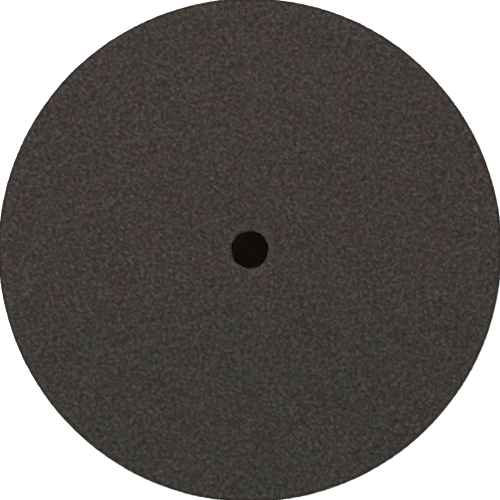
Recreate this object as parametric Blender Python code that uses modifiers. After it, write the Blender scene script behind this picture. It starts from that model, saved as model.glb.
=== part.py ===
"""Round foam finishing pad for a rotary polisher: a cut foam disc bonded to a loop fabric backing.

Metres, +Z up. The pad lies on its loop face with its working face up. The origin is the centre of
the loop face, on the surface that the pad lies on, and the pad turns about +Z on its machine.
"""

import math

import bmesh
import bpy
from mathutils import Vector

# Foam disc
FACE_DIAMETER = 0.200  # working face, from edge to edge
FOAM_THICKNESS = 0.030
HOLE_DIAMETER = 0.015  # centring hole, through the foam and blind at the backing
FLANK_LEAN = 0.0075  # how far the flank leans in from the face to the back
FLANK_HOLLOW = 0.0012  # how deep the flank is hollowed between its two edges
FACE_EDGE_RADIUS = 0.0008  # a cut edge, almost sharp
BACK_EDGE_RADIUS = 0.0020
HOLE_EDGE_RADIUS = 0.0006

# Backing
FABRIC_THICKNESS = 0.0020  # knitted ground and loop pile together
FABRIC_EDGE_RADIUS = 0.0006
FABRIC_MARGIN = 0.0025  # how far the fabric's edge stays inside the foam's back edge
FILM_THICKNESS = 0.0005  # hot-melt film between the fabric and the foam
FILM_MARGIN = 0.0003  # how far the film's edge stays inside the fabric's edge
BOND_GAP = 0.0003  # left between bonded layers, so that each stays a body of its own

# What follows from the sizes above
FACE_RADIUS = FACE_DIAMETER / 2
BACK_RADIUS = FACE_RADIUS - FLANK_LEAN
HOLE_RADIUS = HOLE_DIAMETER / 2
FABRIC_RADIUS = BACK_RADIUS - FABRIC_MARGIN
FILM_RADIUS = FABRIC_RADIUS - FILM_MARGIN
FILM_BOTTOM = FABRIC_THICKNESS + BOND_GAP
FILM_TOP = FILM_BOTTOM + FILM_THICKNESS
FOAM_BOTTOM = FILM_TOP + BOND_GAP
FOAM_TOP = FOAM_BOTTOM + FOAM_THICKNESS
CORNER_ANGLE = math.atan2(FOAM_THICKNESS, FLANK_LEAN)  # between the working face and the flank
CORNER_OVERHANG = FACE_EDGE_RADIUS * (1 / math.tan(CORNER_ANGLE / 2) - 1)  # cut off by the rounded edge

# Resolution
TURN_STEPS = 96
FILLET_STEPS = 4
FLANK_STEPS = 8
SMOOTH_ANGLE = math.radians(40)
MERGE_DISTANCE = 0.00001


def clear_scene():
    """Removes whatever the file opened with."""
    for old in list(bpy.data.objects):
        bpy.data.objects.remove(old, do_unlink=True)


def new_collection(name):
    collection = bpy.data.collections.new(name)
    bpy.context.scene.collection.children.link(collection)
    return collection


def material(name, colour, roughness, metallic=0.0):
    made = bpy.data.materials.new(name)
    made.use_nodes = True
    shader = made.node_tree.nodes["Principled BSDF"]
    shader.inputs["Base Color"].default_value = (*colour, 1.0)
    shader.inputs["Roughness"].default_value = roughness
    shader.inputs["Metallic"].default_value = metallic
    made.diffuse_color = (*colour, 1.0)
    return made


def foam_material():
    """Charcoal open-cell polyurethane foam."""
    return material("charcoal_foam", (0.053, 0.045, 0.040), 0.95)


def film_material():
    """Black hot-melt film."""
    return material("hot_melt_film", (0.020, 0.020, 0.021), 0.45)


def fabric_material():
    """Black brushed loop fabric."""
    return material("loop_fabric", (0.030, 0.030, 0.032), 0.90)


def fillet(before, corner, after, radius):
    """Points of the arc that rounds a corner of a profile, from its first run to its second."""
    to_before = (before - corner).normalized()
    to_after = (after - corner).normalized()
    half = to_before.angle(to_after) / 2
    centre = corner + (to_before + to_after).normalized() * (radius / math.sin(half))
    start = corner + to_before * (radius / math.tan(half)) - centre
    sweep = math.pi - 2 * half
    side = math.copysign(1.0, to_after.cross(to_before))
    points = []
    for step in range(FILLET_STEPS + 1):
        turn = side * sweep * step / FILLET_STEPS
        cos, sin = math.cos(turn), math.sin(turn)
        points.append(centre + Vector((start.x * cos - start.y * sin, start.x * sin + start.y * cos)))
    return points


def hollow_run(start, end, depth):
    """Points between two ends of a run, pushed towards the axis by up to depth at its middle."""
    points = []
    for step in range(1, FLANK_STEPS):
        along = step / FLANK_STEPS
        point = start.lerp(end, along)
        points.append(point - Vector((depth * 4 * along * (1 - along), 0.0)))
    return points


def turned(name, profile, closed, collection, surface):
    """An object turned about Z from a profile of (radius, height) points, its outer side run top to bottom.

    A closed profile leaves the axis open. An open one starts and ends on the axis.
    """
    wire = bmesh.new()
    points = [wire.verts.new((point.x, 0.0, point.y)) for point in profile]
    for first, second in zip(points, points[1:] + points[:1] * closed):
        wire.edges.new((first, second))
    mesh = bpy.data.meshes.new(name)
    wire.to_mesh(mesh)
    wire.free()
    made = bpy.data.objects.new(name, mesh)
    collection.objects.link(made)

    screw = made.modifiers.new("turn", "SCREW")
    screw.axis = "Z"
    screw.angle = math.tau
    screw.steps = screw.render_steps = TURN_STEPS
    screw.use_merge_vertices = True
    screw.merge_threshold = MERGE_DISTANCE
    screw.use_smooth_shade = True

    shape = bpy.data.meshes.new_from_object(made.evaluated_get(bpy.context.evaluated_depsgraph_get()))
    made.modifiers.clear()
    made.data = shape
    bpy.data.meshes.remove(mesh)
    shape.name = name
    shape.shade_smooth()
    shape.set_sharp_from_angle(angle=SMOOTH_ANGLE)
    shape.materials.append(surface)
    return made


def foam_disc(collection):
    """The foam, widest at its working face, with a hollowed flank and a straight hole."""
    hole_top = Vector((HOLE_RADIUS, FOAM_TOP))
    face_edge = Vector((FACE_RADIUS + CORNER_OVERHANG, FOAM_TOP))
    back_edge = Vector((BACK_RADIUS, FOAM_BOTTOM))
    hole_bottom = Vector((HOLE_RADIUS, FOAM_BOTTOM))
    face_round = fillet(hole_top, face_edge, back_edge, FACE_EDGE_RADIUS)
    back_round = fillet(face_edge, back_edge, hole_bottom, BACK_EDGE_RADIUS)
    hole_round = fillet(hole_bottom, hole_top, face_edge, HOLE_EDGE_RADIUS)
    flank = hollow_run(face_round[-1], back_round[0], FLANK_HOLLOW)
    profile = face_round + flank + back_round + [hole_bottom] + hole_round
    return turned("foam_disc", profile, True, collection, foam_material())


def bond_film(collection):
    """The hot-melt film that holds the fabric on, and closes the foam's hole."""
    profile = [
        Vector((0.0, FILM_TOP)),
        Vector((FILM_RADIUS, FILM_TOP)),
        Vector((FILM_RADIUS, FILM_BOTTOM)),
        Vector((0.0, FILM_BOTTOM)),
    ]
    return turned("bond_film", profile, False, collection, film_material())


def loop_backing(collection):
    """The loop fabric that a hook-faced backing plate grips."""
    top_centre, bottom_centre = Vector((0.0, FABRIC_THICKNESS)), Vector((0.0, 0.0))
    top_edge = Vector((FABRIC_RADIUS, FABRIC_THICKNESS))
    bottom_edge = Vector((FABRIC_RADIUS, 0.0))
    top_round = fillet(top_centre, top_edge, bottom_edge, FABRIC_EDGE_RADIUS)
    bottom_round = fillet(top_edge, bottom_edge, bottom_centre, FABRIC_EDGE_RADIUS)
    profile = [top_centre] + top_round + bottom_round + [bottom_centre]
    return turned("loop_backing", profile, False, collection, fabric_material())


def main():
    clear_scene()
    pad = new_collection("finishing_pad")
    loop_backing(pad)
    bond_film(pad)
    foam_disc(pad)


main()
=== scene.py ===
"""Looks of a round foam finishing pad that lies on its loop backing with its working face up.

Three layers are modelled: a disc cut from fine-pored charcoal foam, a film that bulges out a little
between the foam and the fabric, and a knitted fabric with its pile of loops. Only the working face
follows a known pad. The flank, the film and the fabric are what such pads usually have.
"""

import math

import bpy
import numpy as np
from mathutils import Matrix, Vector, noise


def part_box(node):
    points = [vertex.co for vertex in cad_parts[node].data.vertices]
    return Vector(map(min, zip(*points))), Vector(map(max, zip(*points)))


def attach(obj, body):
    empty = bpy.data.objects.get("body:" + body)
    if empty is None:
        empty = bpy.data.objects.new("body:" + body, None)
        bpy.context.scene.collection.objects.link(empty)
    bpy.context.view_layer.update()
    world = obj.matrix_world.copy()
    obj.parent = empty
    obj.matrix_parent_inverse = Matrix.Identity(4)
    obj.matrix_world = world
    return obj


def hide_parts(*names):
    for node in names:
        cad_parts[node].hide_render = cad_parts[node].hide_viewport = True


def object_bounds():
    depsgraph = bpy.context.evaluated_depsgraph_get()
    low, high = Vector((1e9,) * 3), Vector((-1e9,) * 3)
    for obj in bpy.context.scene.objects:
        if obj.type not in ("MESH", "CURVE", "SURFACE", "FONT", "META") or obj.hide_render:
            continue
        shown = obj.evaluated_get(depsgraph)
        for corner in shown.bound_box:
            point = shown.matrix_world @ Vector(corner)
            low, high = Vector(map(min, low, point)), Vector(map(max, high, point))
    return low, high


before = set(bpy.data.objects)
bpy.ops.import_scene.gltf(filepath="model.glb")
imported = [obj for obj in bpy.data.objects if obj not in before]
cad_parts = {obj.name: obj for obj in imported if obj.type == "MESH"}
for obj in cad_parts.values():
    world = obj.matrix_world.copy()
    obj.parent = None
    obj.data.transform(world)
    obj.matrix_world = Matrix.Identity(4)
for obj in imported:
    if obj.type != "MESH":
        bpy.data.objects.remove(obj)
cad_low, cad_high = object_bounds()

MM = 0.001

# The layers, as the frame has them
foam_low, foam_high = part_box("foam_disc")
film_low, film_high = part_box("bond_film")
fabric_low, fabric_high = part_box("loop_backing")
FACE_RADIUS = foam_high.x
FABRIC_RADIUS = fabric_high.x
HOLE_RADIUS = min(math.hypot(v.co.x, v.co.y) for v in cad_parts["foam_disc"].data.vertices)

# Fineness of the meshes
FOAM_STEP = 0.85 * MM  # between the points of the foam that shows
RIM_STEP = 0.45 * MM  # and close to its outer edge
MOUTH_STEP = 0.30 * MM  # and round the mouth of its hole
HIDDEN_STEP = 4.0 * MM  # and of the foam that is bonded down
FILM_STEP = 1.0 * MM
FABRIC_STEP = 1.1 * MM
TINY = 1e-6

# Foam. Its tones, patches, rings and strip were set by trial to the look of one pad in one light, and
# weren't measured on foam. The strip is painted light: the rest of the disc is lighter and warmer, as where
# the warm light falls, and the strip is left in painted shade. The rings may be that light's doing.
FOAM_COLOUR = (0.0226, 0.0188, 0.0160)
CELL_SIZE = 0.42 * MM  # one cell of the foam
CELL_TONE = 0.20  # how much one cell differs from the next
PORE_SHADE = 0.55  # how much darker the middle of a cell is than its walls, as painted shade in the pore
CLUMP_SIZE = 0.72 * MM  # clumps of lighter and darker cells
CLUMP_TONE = 0.80
RIPPLE_STEP = 1.32 * MM  # wider light and dark marks, about that far apart
RIPPLE_STRETCH = (0.95, 1.05, 1.0)
RIPPLE_TONE = 1.95
STREAK_STRETCH = (0.80, 1.70, 1.0)  # and marks among them that are longer along one diagonal
STREAK_TONE = 1.05
OFF_LEVEL = 0.13  # how far the face lies from a level of their grid, in steps of it
BRIGHT_LEAN = 0.30  # how much further the light marks stand out than the dark ones
BURST_SPACING = 5.2 * MM  # pinholes
PATCH_SIZE = 11.0 * MM  # patches that are slightly browner or bluer
SLOW_SIZE = 20.0 * MM  # and slow changes of lightness
SLOW_TONE = 0.17
WARMTH = 0.91  # how far the patches go towards brown or olive
BLUENESS = 0.52  # and towards blue
FLANK_SHARE = 0.6  # of the face's mottle that the flank has
WARM_LIGHT_TINT = 0.12  # how much warmer most of the disc is than the strip along one side of it: painted warm light
SHADED_STRIP_EDGE = (-0.38 * FACE_RADIUS, -0.14 * FACE_RADIUS)  # along Y, where that strip ends
SHADED_STRIP_WANDER = 0.34 * FACE_RADIUS  # how far that end strays
SHADED_STRIP_TONE = 0.955  # lightness of that strip, in painted shade
WARM_LIGHT_TONE = 0.065  # how much lighter the rest is, with painted light
PAINTED_GLINT = 0.22  # painted glints: how much lighter the brightest clumps are, as where struts catch the light
PINHOLE_SHADE = 0.45  # how much darker a pinhole is, as painted shade in it
HOLE_RING = (4.2 * MM, 0.6 * MM)  # from the hole, where the ring round it starts and is full
HOLE_RING_TONE = 0.28  # how much lighter it is
RIM_RING = (4.0 * MM, 1.8 * MM)  # from the rim, the same for the ring inside it
RIM_RING_TONE = 0.11
RIM_SHADE_LINE = (1.6 * MM, 0.9 * MM)  # and for the dark line at the rim, painted shade where the edge turns away from the light
RIM_SHADE_TONE = 0.55  # how much darker it is
FACE_DEPTH = (1.6 * MM, 0.6 * MM)  # below the face, where its own marks start and are full
BROWN_SHIFT = (0.58, -0.42, -0.20)  # of red, green and blue, towards brown, for the patches and for the painted warm light
CELL_BUMP = 0.18 * MM

# Relief of the cut foam
CLUSTER_SIZE = 1.9 * MM  # clumps of cells that stand a little higher or lower
CLUSTER_HEIGHT = 0.07 * MM
SAG_SIZE = 24.0 * MM  # slow unevenness of the cut surfaces
SAG_HEIGHT = 0.12 * MM
PIT_SPACING = 7.0 * MM  # large open cells, each a pit
PIT_RADIUS = 0.85 * MM
PIT_DEPTH = 0.45 * MM
PUNCH_WANDER = 0.55 * MM  # the furthest that the hole strays from round
PUNCH_TEAR = 0.12 * MM  # how much wider its mouth is than the frame's hole
NICK_SIZE = 1.9 * MM  # nicks in its edge
NICK_DEPTH = 0.34 * MM
PUNCH_REACH = 2.0 * MM  # how far from the hole that is felt
EDGE_REACH = 1.8 * MM  # from a cut edge to where the mesh may be coarser
TORN_SIZE = 0.7 * MM  # torn struts along the cut edges
TORN_HEIGHT = 0.18 * MM
BONDED_FADE = 1.2 * MM  # over which the relief dies away to the bonded back

# Film, fabric and loops
BEAD_WIDTH = 0.55 * MM  # the furthest that the film bulges out past its edge in the frame
BEAD_LENGTH = 5.0 * MM  # from one bulge of it to the next
PRINT_SIZE = 0.9 * MM  # the foam's cells, as the film took their print
FLOW_SIZE = 3.0 * MM  # paler and duller places in the film
HOLE_BROWN = (2.0 * MM, 1.0 * MM)  # outside the hole, where its brown starts and is full
GROUND_THICKNESS = 0.70 * MM
WALE_PITCH = 1.25 * MM  # columns of the knit
COURSE_PITCH = 0.95 * MM  # rows of the knit
STITCH_RELIEF = 0.10 * MM
CURLS = ((0.9 * MM, 5.0 * MM), (0.6 * MM, 9.0 * MM))  # size of the curls, and where their noise is taken
FADE_SIZE = 14.0 * MM  # slow changes of the fabric's lightness
DYE_SIZE = 2.2 * MM  # and changes along the loops
LOOP_YARN = 0.055 * MM  # radius of a filament bundle
LOOP_SPAN = (0.6 * MM, 1.5 * MM)  # from the narrowest loop to the widest
LOOP_LEAN = 0.5  # the furthest that a loop leans, as a share of its span
LOOP_REACH = (0.72, 1.0)  # how far down it hangs, as a share of the room below the ground
LOOP_ARC = (-math.pi / 6, math.pi * 7 / 6)  # the part of a ring that it makes
FIELD_LOOPS = 8000  # under the pad, with few points each
EDGE_LOOPS = 3000  # at the cut edge, where they splay out, with more points each
EDGE_BAND = 2.2 * MM
EDGE_SPLAY = 0.7 * MM
LOOP_SEED = 11

# View and light
VIEW_SHARE = 0.9916  # of the face's diameter that the view takes in
LENS = 100.0
SENSOR = 36.0
FLOOR_SIZE = 30.0
SURROUND_LIGHT = 0.75
SURROUND_SEEN = 1.1


class Signal:
    """A value that varies over a surface. Arithmetic on it adds Math nodes to its finish."""

    def __init__(self, finish, socket):
        self.finish, self.socket = finish, socket

    def math(self, operation, first, second):
        return self.finish.node("ShaderNodeMath", {"operation": operation}, {0: first, 1: second})

    def __add__(self, other):
        return self.math("ADD", self, other)

    def __sub__(self, other):
        return self.math("SUBTRACT", self, other)

    def __rsub__(self, other):
        return self.math("SUBTRACT", other, self)

    def __mul__(self, other):
        return self.math("MULTIPLY", self, other)

    __radd__ = __add__
    __rmul__ = __mul__


class Finish:
    """A material under construction: a Principled shader and the nodes that feed it."""

    def __init__(self, name, **fixed):
        self.material = bpy.data.materials.new(name)
        self.material.use_nodes = True
        self.tree = self.material.node_tree
        self.shader = self.tree.nodes["Principled BSDF"]
        for socket, value in fixed.items():
            self.shader.inputs[socket.replace("_", " ")].default_value = value
        self.place = self.node("ShaderNodeTexCoord", output="Object")

    def node(self, kind, settings=None, sockets=None, output=0):
        """Adds a node, gives it its settings and then its sockets, and returns one of its outputs."""
        made = self.tree.nodes.new(kind)
        for name, value in (settings or {}).items():
            setattr(made, name, value)
        for name, value in (sockets or {}).items():
            self.feed(made.inputs[name], value)
        return Signal(self, made.outputs[output])

    def feed(self, socket, value):
        if isinstance(value, Signal):
            self.tree.links.new(value.socket, socket)
        else:
            socket.default_value = value

    def noise(self, size, detail=2.0, roughness=0.5, at=None):
        """Smooth noise with features of about that size, from 0 to 1."""
        sockets = {"Vector": at or self.place, "Scale": 1 / size, "Detail": detail, "Roughness": roughness}
        return self.node("ShaderNodeTexNoise", {"noise_dimensions": "3D"}, sockets, "Fac")

    def turned(self, angle, stretch):
        """The place on the surface, turned about Z and then stretched along its own axes."""
        sockets = {"Vector": self.place, "Rotation": (0.0, 0.0, angle), "Scale": stretch}
        return self.node("ShaderNodeMapping", {"vector_type": "TEXTURE"}, sockets)

    def cells(self, size, feature, output="Distance", **sockets):
        """Cells of about that size: distances within them, or a random colour for each."""
        sockets = {"Vector": self.place, "Scale": 1 / size} | sockets
        return self.node("ShaderNodeTexVoronoi", {"feature": feature}, sockets, output)

    def between(self, value, low, high):
        """0 where the value is at low, 1 where it is at high, with a smooth turn at both ends."""
        settings = {"interpolation_type": "SMOOTHSTEP"}
        return self.node("ShaderNodeMapRange", settings, {"Value": value, "From Min": low, "From Max": high})

    def mixed(self, share, first, second):
        """Two colours mixed by a share from 0 to 1."""
        return self.node("ShaderNodeMix", {"data_type": "RGBA"}, {0: share, 6: first, 7: second}, 2)

    def channels(self, colour):
        parts = self.node("ShaderNodeSeparateColor", sockets={"Color": colour}).socket.node
        return [Signal(self, parts.outputs[name]) for name in ("Red", "Green", "Blue")]

    def bump(self, height, distance, strength):
        """Bumps of that height, in metres, over the surface."""
        sockets = {"Height": height, "Distance": distance, "Strength": strength}
        self.feed(self.shader.inputs["Normal"], self.node("ShaderNodeBump", sockets=sockets))

    def colour(self, value):
        self.feed(self.shader.inputs["Base Color"], value)

    def roughness(self, value):
        self.feed(self.shader.inputs["Roughness"], value)


def rgb(red, green, blue):
    return (red, green, blue, 1.0)


# --- Finishes ---


def foam_finish():
    """Charcoal open-cell foam: cells cut open at random depths, and faint brown and olive patches, with
    painted shade, glints and warm light.
    """
    foam = Finish("charcoal_foam", Roughness=0.95, Specular_IOR_Level=0.2, Diffuse_Roughness=0.8)
    from_axis = foam.node(
        "ShaderNodeVectorMath", {"operation": "MULTIPLY"}, {0: foam.place, 1: (1.0, 1.0, 0.0)}
    )
    radius = foam.node("ShaderNodeVectorMath", {"operation": "LENGTH"}, {0: from_axis}, "Value")

    wobble = foam.node(
        "ShaderNodeTexNoise", sockets={"Vector": foam.place, "Scale": 1 / (1.2 * CELL_SIZE)}, output="Color"
    )
    bent = foam.node(
        "ShaderNodeVectorMath",
        {"operation": "MULTIPLY_ADD"},
        {0: wobble, 1: (0.3 * CELL_SIZE,) * 3, 2: foam.place},
    )
    openness, lift, _ = foam.channels(foam.cells(CELL_SIZE, "F1", "Color", Vector=bent))
    wall = foam.cells(CELL_SIZE, "DISTANCE_TO_EDGE", Vector=bent)
    pore = foam.between(wall, 0.05, 0.28)
    burst = foam.between(foam.cells(BURST_SPACING, "F1"), 0.11, 0.05)
    slow = foam.noise(SLOW_SIZE)

    clump, glinting, _ = foam.channels(foam.cells(CLUMP_SIZE, "SMOOTH_F1", "Color", Smoothness=1.0))
    # This noise is finest on the levels of its own grid, so the grid is fitted to bring one near the face
    levels = round(foam_high.z / RIPPLE_STEP) + OFF_LEVEL
    ripple, streak = [
        foam.noise(foam_high.z / levels, detail=0.0, at=foam.turned(math.pi / 4, stretch))
        for stretch in (RIPPLE_STRETCH, STREAK_STRETCH)
    ]

    height = foam.node("ShaderNodeSeparateXYZ", sockets={0: foam.place}, output="Z")
    near_face = foam.between(height, *(foam_high.z - depth for depth in FACE_DEPTH))
    hole_ring = foam.between(radius, *(HOLE_RADIUS + distance for distance in HOLE_RING))
    rim_ring = foam.between(radius, *(FACE_RADIUS - distance for distance in RIM_RING)) * near_face
    rim_shade_line = foam.between(radius, *(FACE_RADIUS - distance for distance in RIM_SHADE_LINE)) * near_face

    marks = CLUMP_TONE * (clump - 0.5) + RIPPLE_TONE * (ripple - 0.5) + STREAK_TONE * (streak - 0.5)
    uneven = FLANK_SHARE + (1 - FLANK_SHARE) * near_face
    mottle = uneven * marks
    tone = 1 + mottle * (1 + BRIGHT_LEAN * mottle) + CELL_TONE * (0.5 - openness)
    # painted glints on the brightest clumps
    tone = tone + SLOW_TONE * (slow - 0.5) + PAINTED_GLINT * foam.between(glinting, 0.60, 0.80)
    # painted shade in the middle of each cell and in the pinholes
    shade = tone * (1 - PORE_SHADE * pore) * (1 - PINHOLE_SHADE * burst)
    shade = shade * (1 + HOLE_RING_TONE * hole_ring) * (1 + RIM_RING_TONE * rim_ring)
    # painted shade along the rim, where the edge turns away from the light
    shade = shade * (1 - RIM_SHADE_TONE * rim_shade_line)

    brown_patch, blue_patch, wander = foam.channels(
        foam.node(
            "ShaderNodeTexNoise",
            sockets={"Vector": foam.place, "Scale": 1 / PATCH_SIZE, "Detail": 3.0, "Roughness": 0.6},
            output="Color",
        )
    )
    along = foam.node("ShaderNodeSeparateXYZ", sockets={0: foam.place}, output="Y")
    # Painted light: the disc above the strip is lighter and warmer, as where the warm light falls, and the
    # strip is left in painted shade
    warm_lit = foam.between(along + SHADED_STRIP_WANDER * (wander - 0.5), *SHADED_STRIP_EDGE)
    warm = uneven * WARMTH * (brown_patch - 0.5) + WARM_LIGHT_TINT * (warm_lit - 0.6)
    shade = shade * (SHADED_STRIP_TONE + WARM_LIGHT_TONE * warm_lit)
    red, green, blue = [dye * (1 + shift * warm) for dye, shift in zip(FOAM_COLOUR, BROWN_SHIFT)]
    blue = blue + FOAM_COLOUR[2] * BLUENESS * (blue_patch - 0.5)
    foam.colour(
        foam.node(
            "ShaderNodeCombineColor",
            sockets={"Red": red * shade, "Green": green * shade, "Blue": blue * shade},
        )
    )
    depth = pore * (0.35 + 0.65 * openness)
    foam.bump(0.35 * lift - depth - burst, CELL_BUMP, 0.8)
    return foam.material


def film_finish():
    """Black hot-melt film with the print of the foam's cells, and browner where it closes the hole."""
    film = Finish("hot_melt_film", Specular_IOR_Level=0.2)
    print_of_cells = film.cells(PRINT_SIZE, "SMOOTH_F1", Smoothness=0.6)
    flow = film.noise(FLOW_SIZE)
    from_middle = film.node("ShaderNodeVectorMath", {"operation": "LENGTH"}, {0: film.place}, "Value")
    in_hole = film.between(from_middle, *(HOLE_RADIUS + distance for distance in HOLE_BROWN))
    black = film.mixed(flow, rgb(0.010, 0.009, 0.008), rgb(0.024, 0.021, 0.019))
    brown = film.mixed(flow, rgb(0.068, 0.034, 0.019), rgb(0.104, 0.055, 0.033))
    film.colour(film.mixed(in_hole, black, brown))
    film.roughness(0.40 + 0.30 * flow)
    film.bump(print_of_cells * 0.5 + flow * 0.5, 0.25 * MM, 0.6)
    return film.material


def curls(knit, size, lift):
    """Thin curly lines, where noise of that size crosses its middle, like filaments of a brushed pile."""
    moved = knit.node("ShaderNodeVectorMath", {"operation": "ADD"}, {0: knit.place, 1: (0.0, 0.0, lift)})
    middle = knit.noise(size, detail=1.0, at=moved) - 0.5
    return knit.between(middle.math("ABSOLUTE", middle, 0.0), 0.075, 0.0)


def ground_finish():
    """Brushed nylon: fine curls of filament over columns of stitches."""
    knit = Finish("knitted_ground", Roughness=0.8, Sheen_Weight=0.08, Sheen_Roughness=0.5)
    near, far = [curls(knit, size, lift) for size, lift in CURLS]
    across = knit.node("ShaderNodeSeparateXYZ", sockets={0: knit.place}, output="X")
    column = 0.5 + 0.5 * across.math("COSINE", across * (math.tau / WALE_PITCH), 0.0)
    fade = knit.noise(FADE_SIZE)
    shade = 0.45 * near + 0.25 * far + 0.15 * column + 0.3 * (fade - 0.5)
    knit.colour(knit.mixed(shade, rgb(0.007, 0.007, 0.008), rgb(0.070, 0.070, 0.074)))
    knit.bump(near + 0.5 * far + 0.4 * column, 0.22 * MM, 0.9)
    return knit.material


def loop_finish():
    """Black nylon filament, a little glossy along its loops."""
    loop = Finish("loop_filament", Roughness=0.45, Sheen_Weight=0.15, Sheen_Roughness=0.4)
    dye = loop.noise(DYE_SIZE)
    loop.colour(loop.mixed(dye, rgb(0.020, 0.020, 0.022), rgb(0.075, 0.075, 0.080)))
    return loop.material


def floor_finish():
    floor = Finish("pale_floor", Roughness=0.8, Specular_IOR_Level=0.1)
    floor.colour(rgb(0.95, 0.95, 0.95))
    return floor.material


# --- Turned surfaces ---


def outline(node):
    """The (radius, height) points of a turned CAD node, in order round its section."""
    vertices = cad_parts[node].data.vertices
    points = {
        (round(v.co.x, 6), round(v.co.z, 6)) for v in vertices if v.co.x > 0 and abs(v.co.y) < TINY
    }
    middle = np.mean(sorted(points), axis=0)
    return sorted(points, key=lambda point: math.atan2(point[1] - middle[1], point[0] - middle[0]))


def divided(points, step_at, closed=True):
    """The outline again, with each straight run divided into steps no longer than step_at says."""
    found = []
    for start, end in zip(points, points[1:] + points[:1] * closed):
        step = step_at((start[0] + end[0]) / 2, (start[1] + end[1]) / 2)
        parts = max(1, math.ceil(math.dist(start, end) / step))
        for part in range(parts):
            share = part / parts
            found.append((start[0] + share * (end[0] - start[0]), start[1] + share * (end[1] - start[1])))
    return found if closed else found + [points[-1]]


def zipped(first, second, first_turns, second_turns):
    """Triangles between two rings of points, each given by its first index and its angles in turns."""
    faces = []
    a = b = 0
    count_a, count_b = len(first_turns), len(second_turns)
    while a < count_a or b < count_b:
        next_a = first_turns[a + 1] if a + 1 < count_a else 1 + first_turns[0]
        next_b = second_turns[b + 1] if b + 1 < count_b else 1 + second_turns[0]
        at_a, at_b = first + a % count_a, second + b % count_b
        if b >= count_b or (a < count_a and next_a < next_b):
            faces.append((at_a, first + (a + 1) % count_a, at_b))
            a += 1
        else:
            faces.append((at_a, second + (b + 1) % count_b, at_b))
            b += 1
    return faces


def turned_surface(section, step_at, closed=True):
    """Points and triangles of a surface turned from a section. Each ring has the points that it needs."""
    points, faces, rings = [], [], []
    for number, (radius, height) in enumerate(section):
        if radius < TINY:
            rings.append((len(points), np.zeros(1)))
            points.append((0.0, 0.0, height))
            continue
        count = max(12, round(math.tau * radius / step_at(radius, height)))
        turns = (np.arange(count) + 0.5 * (number % 2)) / count
        rings.append((len(points), turns))
        angles = math.tau * turns
        points.extend(zip(radius * np.cos(angles), radius * np.sin(angles), [height] * count))
    pairs = zip(rings, rings[1:] + rings[:1] * closed)
    for (first, first_turns), (second, second_turns) in pairs:
        if len(first_turns) == 1:
            count = len(second_turns)
            faces.extend((first, second + (i + 1) % count, second + i) for i in range(count))
        elif len(second_turns) == 1:
            count = len(first_turns)
            faces.extend((second, first + i, first + (i + 1) % count) for i in range(count))
        else:
            faces.extend(zipped(first, second, first_turns, second_turns))
    return np.array(points), faces


def piece(name, points, faces, finish):
    """A smooth mesh object that rides with the pad."""
    mesh = bpy.data.meshes.new(name)
    mesh.from_pydata([tuple(point) for point in points], [], faces)
    mesh.update()
    mesh.shade_smooth()
    mesh.materials.append(finish)
    made = bpy.data.objects.new(name, mesh)
    bpy.context.scene.collection.objects.link(made)
    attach(made, "root")
    return made


def vertex_normals(points, faces):
    """Outward normals of a mesh's points."""
    corners = points[np.array(faces)]
    across = np.cross(corners[:, 1] - corners[:, 0], corners[:, 2] - corners[:, 0])
    normals = np.zeros_like(points)
    for corner in range(3):
        np.add.at(normals, np.array(faces)[:, corner], across)
    return normals / np.maximum(np.linalg.norm(normals, axis=1, keepdims=True), 1e-12)


def smooth_step(value, low, high):
    share = np.clip((value - low) / (high - low), 0, 1)
    return share * share * (3 - 2 * share)


def noise_at(points, size):
    """Smooth noise from -1 to 1 at each point, with features of that size."""
    return np.array([noise.noise(Vector(point) / size) for point in points])


def pits_at(points):
    """1 in the middle of each burst cell, falling to 0 at its rim."""
    nearest = np.array([noise.voronoi(Vector(point) / PIT_SPACING)[0][0] for point in points])
    return 1 - smooth_step(nearest * PIT_SPACING, 0.2 * PIT_RADIUS, PIT_RADIUS)


# --- The pad ---


def foam_disc():
    """The cut foam: torn clumps of cells, burst cells, and a punched hole that isn't quite round."""

    section = outline("foam_disc")

    def step_at(radius, height):
        below_face = foam_high.z - height
        if height < foam_low.z + TINY and radius < FABRIC_RADIUS:
            return HIDDEN_STEP
        if radius < HOLE_RADIUS + EDGE_REACH and below_face < EDGE_REACH:
            return MOUTH_STEP
        if radius > FACE_RADIUS - EDGE_REACH and below_face < EDGE_REACH:
            return RIM_STEP
        return FOAM_STEP

    points, faces = turned_surface(divided(section, step_at), step_at)
    normals = vertex_normals(points, faces)
    radii = np.hypot(points[:, 0], points[:, 1])

    relief = CLUSTER_HEIGHT * noise_at(points, CLUSTER_SIZE)
    relief += SAG_HEIGHT * noise_at(points, SAG_SIZE)
    relief -= PIT_DEPTH * pits_at(points)
    from_edge = np.minimum(FACE_RADIUS - radii, radii - HOLE_RADIUS)
    at_edge = 1 - smooth_step(np.maximum(from_edge, foam_high.z - points[:, 2]), 0, EDGE_REACH)
    relief += TORN_HEIGHT * at_edge * noise_at(points, TORN_SIZE)
    free = smooth_step(points[:, 2] - foam_low.z, 0, BONDED_FADE)
    points = points + normals * (relief * free)[:, None]

    wander = PUNCH_WANDER * noise_at(points * (1, 1, 0.2), HOLE_RADIUS / 2)
    wander += PUNCH_TEAR + NICK_DEPTH * noise_at(points * (1, 1, 0.5), NICK_SIZE)
    felt = (1 - smooth_step(radii, HOLE_RADIUS, HOLE_RADIUS + PUNCH_REACH)) * free
    outward = points * (1, 1, 0) / radii[:, None]
    points = points + outward * (wander * felt)[:, None]

    made = piece("foam_disc_cut", points, faces, foam_finish())
    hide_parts("foam_disc")
    return made


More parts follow.
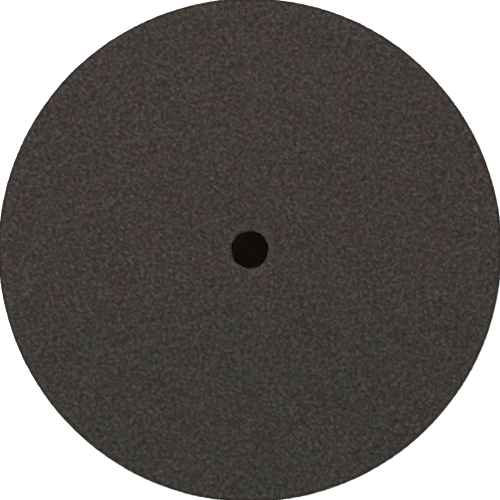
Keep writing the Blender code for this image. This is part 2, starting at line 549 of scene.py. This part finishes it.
def bond_film():
    """The film fills the bond from the fabric to the foam, and bulges unevenly along its edge."""
    middle = (fabric_high.z + foam_low.z) / 2
    half = (foam_low.z - fabric_high.z) / 2
    rim = [
        (film_high.x + half * math.sin(angle), middle + half * math.cos(angle))
        for angle in np.linspace(0, math.pi, 7)
    ]
    section = [(0.0, foam_low.z)] + rim + [(0.0, fabric_high.z)]

    def step_at(radius, height):
        return FILM_STEP if radius > film_high.x - EDGE_BAND else HIDDEN_STEP

    points, faces = turned_surface(divided(section, step_at, closed=False), step_at, closed=False)
    radii = np.maximum(np.hypot(points[:, 0], points[:, 1]), TINY)
    at_rim = smooth_step(radii, film_high.x - EDGE_BAND, film_high.x)
    squeezed = BEAD_WIDTH * (0.5 + 0.5 * noise_at(points * (1, 1, 0), BEAD_LENGTH))
    points = points + points * (1, 1, 0) / radii[:, None] * (squeezed * at_rim)[:, None]
    made = piece("bond_film_bead", points, faces, film_finish())
    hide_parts("bond_film")
    return made


def knit_relief(points):
    """Height of the knitted stitches over the ground's face, from -1 to 1."""
    column = np.cos(math.tau * points[:, 0] / WALE_PITCH)
    lean = 0.25 * np.sign(np.sin(math.tau * points[:, 0] / WALE_PITCH))
    row = np.cos(math.tau * (points[:, 1] / COURSE_PITCH + lean))
    return 0.6 * column + 0.4 * row


def knitted_ground():
    """The fabric's ground: a thin disc with stitches in relief on the side that faces down."""
    top, bottom = fabric_high.z, fabric_high.z - GROUND_THICKNESS
    half = GROUND_THICKNESS / 2
    rim = [
        (FABRIC_RADIUS - half + half * math.sin(angle), (top + bottom) / 2 + half * math.cos(angle))
        for angle in np.linspace(0, math.pi, 5)
    ]
    section = [(0.0, top)] + rim + [(0.0, bottom)]

    def step_at(radius, height):
        covered = height > top - TINY and radius < FABRIC_RADIUS - EDGE_BAND
        return HIDDEN_STEP if covered else FABRIC_STEP

    points, faces = turned_surface(divided(section, step_at, closed=False), step_at, closed=False)
    facing_down = smooth_step(-points[:, 2], -top, -bottom)
    points[:, 2] += STITCH_RELIEF * knit_relief(points) * facing_down
    made = piece("knitted_ground", points, faces, ground_finish())
    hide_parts("loop_backing")
    return made


def loops(name, rng, radius, splay, steps, sides):
    """A piece of pile: filaments that leave the ground, swell out and come back to it, and lean every way."""
    count = len(radius)
    turn, heading = math.tau * rng.random((2, count, 1))
    outward = np.hstack([np.cos(turn), np.sin(turn), np.zeros((count, 1))])
    along = np.hstack([np.cos(heading), np.sin(heading), np.zeros((count, 1))])
    sideways = np.hstack([-np.sin(heading), np.cos(heading), np.zeros((count, 1))])
    down = np.array((0.0, 0.0, -1.0))
    span = rng.uniform(*LOOP_SPAN, (count, 1))
    lean = rng.uniform(-LOOP_LEAN, LOOP_LEAN, (count, 1)) * span
    ground = fabric_high.z - GROUND_THICKNESS
    reach_down = (ground - LOOP_YARN) * rng.uniform(*LOOP_REACH, (count, 1))
    foot = radius[:, None] * outward - ground * down

    centres = []
    for angle in np.linspace(*LOOP_ARC, steps + 1):
        depth = (0.5 + math.sin(angle)) / 1.5
        swell = along * span / 2 * math.cos(angle) + sideways * lean * depth
        centres.append(foot + swell + outward * splay * depth + down * reach_down * depth)

    rings = []
    for number, centre in enumerate(centres):
        run = centres[min(number + 1, steps)] - centres[max(number - 1, 0)]
        across = np.cross(run, sideways)
        across /= np.linalg.norm(across, axis=1, keepdims=True)
        other = np.cross(run, across)
        other /= np.linalg.norm(other, axis=1, keepdims=True)
        for angle in math.tau * np.arange(sides) / sides:
            rings.append(centre + LOOP_YARN * (math.cos(angle) * across + math.sin(angle) * other))
    points = np.stack(rings, 1).reshape(-1, 3)

    faces = []
    for first in range(0, len(points), sides):
        if first // sides % (steps + 1) < steps:
            for side in range(sides):
                here, beside = first + side, first + (side + 1) % sides
                faces.append((here, beside, beside + sides, here + sides))
    made = piece(name, points, faces, loop_finish())


def loop_pile():
    """The pile of loops that hooks catch in."""
    rng = np.random.default_rng(LOOP_SEED)
    field = (FABRIC_RADIUS - EDGE_BAND) * np.sqrt(rng.random(FIELD_LOOPS))
    loops("loop_pile", rng, field, splay=np.zeros((FIELD_LOOPS, 1)), steps=4, sides=3)
    edge = FABRIC_RADIUS - EDGE_BAND * rng.random(EDGE_LOOPS)
    splay = EDGE_SPLAY * rng.random((EDGE_LOOPS, 1))
    loops("edge_loops", rng, edge, splay, steps=8, sides=3)


# --- Setting ---


def floor():
    bpy.ops.mesh.primitive_plane_add(size=FLOOR_SIZE, location=(0.0, 0.0, cad_low.z))
    made = bpy.context.object
    made.name = "floor"
    made.data.materials.append(floor_finish())


def camera():
    """Straight above the face, which fills the view from edge to edge."""
    data = bpy.data.cameras.new("camera")
    data.lens, data.sensor_width = LENS, SENSOR
    made = bpy.data.objects.new("camera", data)
    distance = VIEW_SHARE * FACE_RADIUS * LENS / (SENSOR / 2)
    made.location = (0.0, 0.0, cad_high.z + distance)
    bpy.context.scene.collection.objects.link(made)
    bpy.context.scene.camera = made


def softbox(name, place, size, power, colour):
    """A square light that faces the pad."""
    data = bpy.data.lights.new(name, "AREA")
    data.size, data.energy, data.color = size, power, colour
    made = bpy.data.objects.new(name, data)
    made.location = place
    made.rotation_mode = "QUATERNION"
    made.rotation_quaternion = (-Vector(place)).to_track_quat("-Z", "Y")
    made.visible_camera = False
    bpy.context.scene.collection.objects.link(made)


def skylight(name, place, spread, strength):
    """A broad light from far off, even over the whole floor."""
    data = bpy.data.lights.new(name, "SUN")
    data.angle, data.energy = math.radians(spread), strength
    made = bpy.data.objects.new(name, data)
    made.rotation_mode = "QUATERNION"
    made.rotation_quaternion = (-Vector(place)).to_track_quat("-Z", "Y")
    bpy.context.scene.collection.objects.link(made)


def surround():
    """White all round: as bright as the floor where it is seen, and dimmer in the light that it gives."""
    world = bpy.data.worlds.new("surround")
    bpy.context.scene.world = world
    world.use_nodes = True
    nodes, links = world.node_tree.nodes, world.node_tree.links
    seen = nodes.new("ShaderNodeLightPath")
    strength = nodes.new("ShaderNodeMapRange")
    strength.inputs["To Min"].default_value = SURROUND_LIGHT
    strength.inputs["To Max"].default_value = SURROUND_SEEN
    links.new(seen.outputs["Is Camera Ray"], strength.inputs["Value"])
    links.new(strength.outputs["Result"], nodes["Background"].inputs["Strength"])
    nodes["Background"].inputs["Color"].default_value = (1.0, 1.0, 1.0, 1.0)


def studio():
    surround()
    skylight("key", (-0.7, 0.75, 1.0), 50, 0.55)
    skylight("opposite", (0.8, -0.6, 0.9), 60, 1.58)
    softbox("warm_key", (-0.28, 0.55, 0.74), 0.44, 15.6, (1.0, 0.92, 0.89))
    softbox("cool_fill", (0.20, -0.50, 0.45), 0.3, 1.5, (0.93, 1.0, 0.97))
    bpy.context.scene.view_settings.view_transform = "Standard"


camera()
foam_disc()
bond_film()
knitted_ground()
loop_pile()
floor()
studio()
